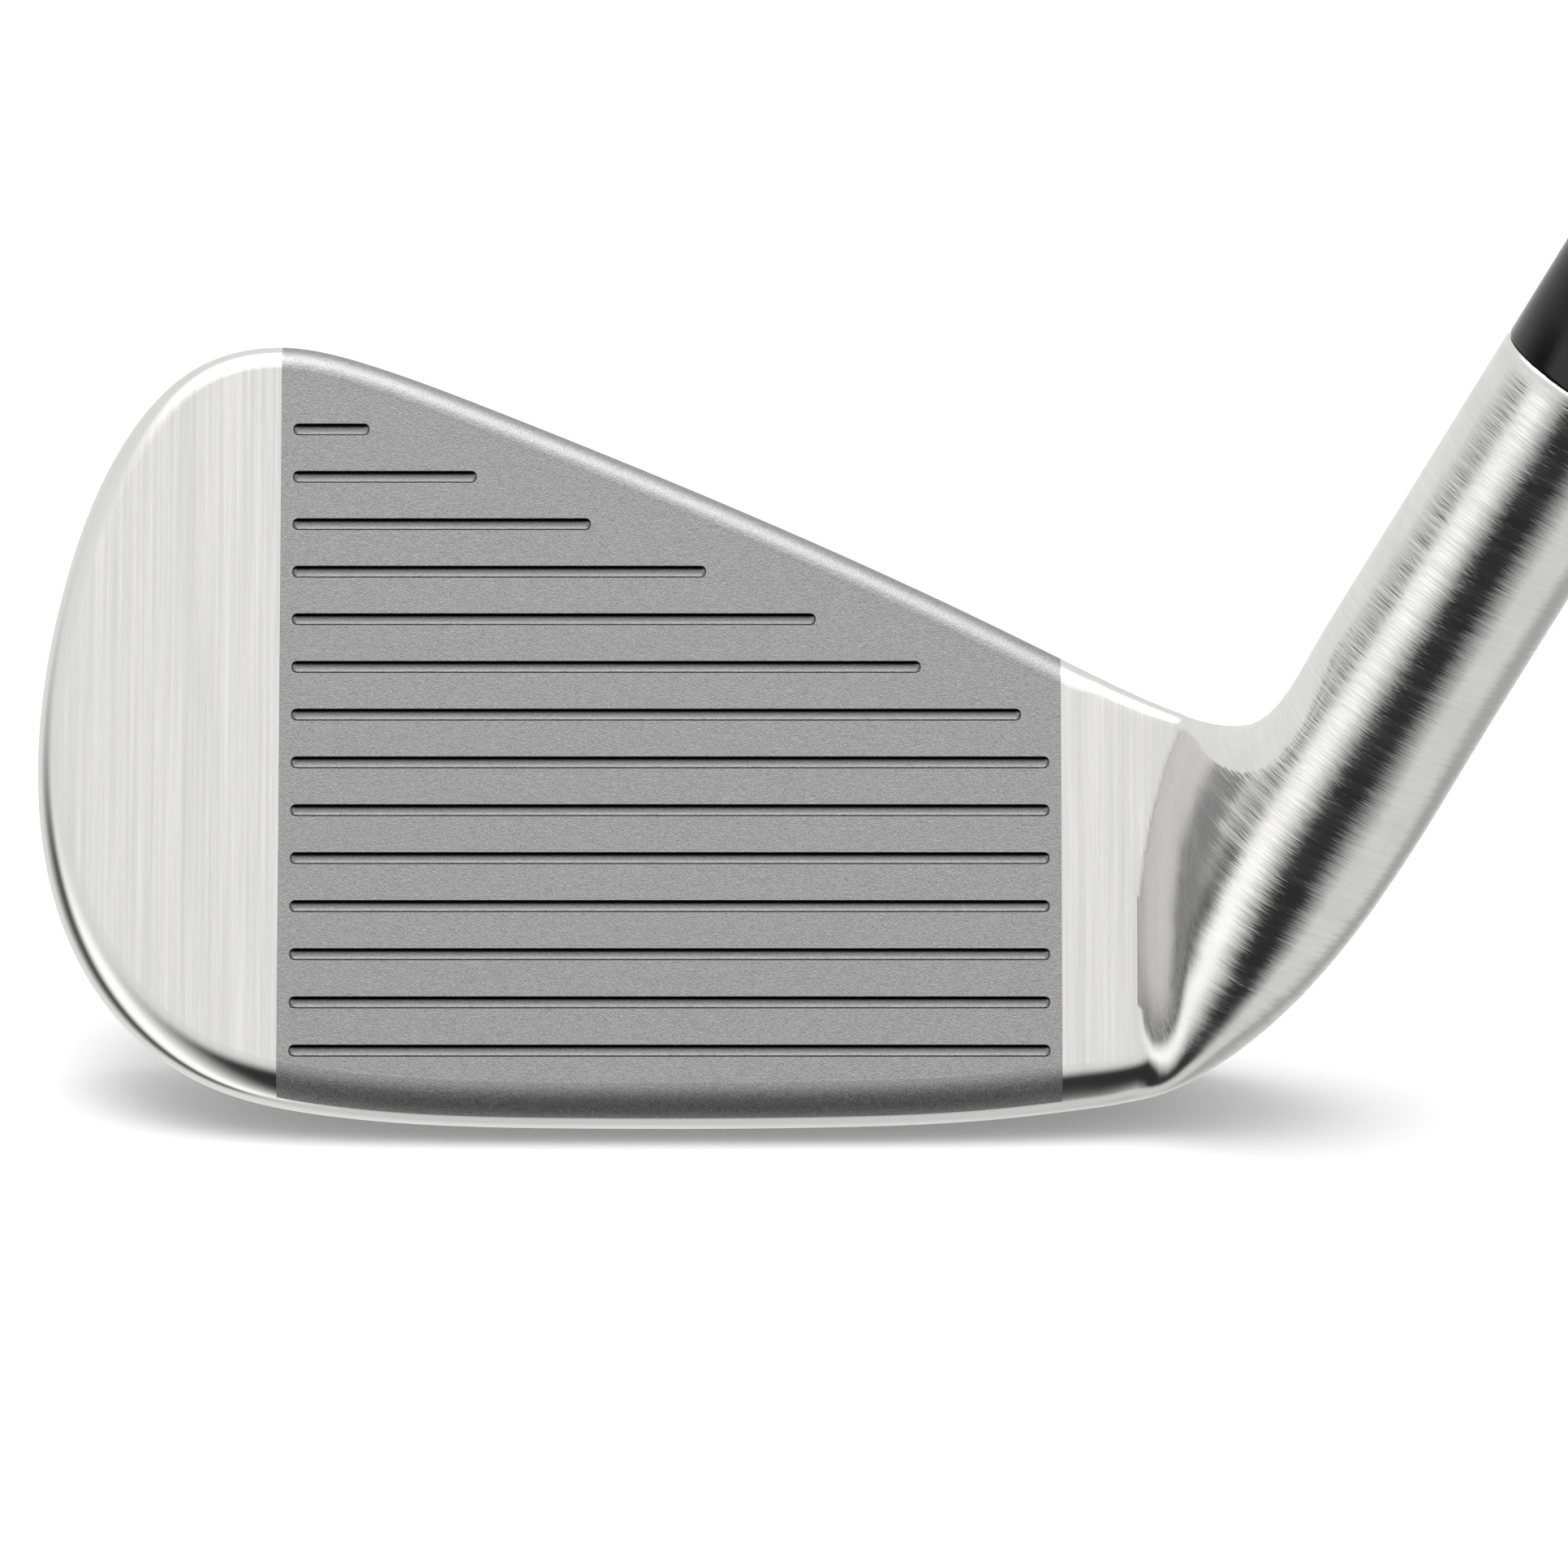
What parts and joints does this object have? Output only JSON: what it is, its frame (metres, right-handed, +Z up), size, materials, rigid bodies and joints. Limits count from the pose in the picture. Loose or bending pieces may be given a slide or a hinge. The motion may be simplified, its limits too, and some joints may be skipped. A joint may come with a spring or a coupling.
{
  "type": "iron golf club",
  "caption": "Right-handed cavity-back iron golf club with a grooved steel face, offset hosel, black ferrule, stepped steel shaft and rubber grip.",
  "frame": {"origin": "the point of the sole that touches the ground under the middle of the score lines, with the club as it is addressed", "axes": "+Z up; -Y towards the target, so the face looks along -Y; +X towards the heel and the player, with the toe at -X"},
  "size_m": [0.5612, 0.0472, 0.8206],
  "materials": {
    "head_steel": "brushed and polished",
    "face_steel": "fine blasted",
    "tungsten": "sintered",
    "elastomer": "matt",
    "tape": "matt",
    "badge": "satin anodised",
    "accent": "bright",
    "ferrule_black": "polished",
    "epoxy": "gloss",
    "shaft_chrome": "polished chrome",
    "brass": "turned",
    "band": "gloss",
    "grip_rubber": "matt with a moulded pattern"
  },
  "bodies": {
    "root": {"head_body": "head_steel", "face_insert": "face_steel", "toe_weight": "tungsten", "heel_weight": "tungsten", "damping_core": "elastomer", "face_damper": "elastomer", "bond_tape": "tape", "cavity_badge": "badge", "accent_bar": "accent", "ferrule": "ferrule_black", "hosel_epoxy": "epoxy", "shaft": "shaft_chrome", "tip_weight": "brass", "shaft_band": "band", "grip_tape": "tape", "grip_sleeve": "grip_rubber", "grip_cap": "grip_rubber"}
  },
  "joints": []
}
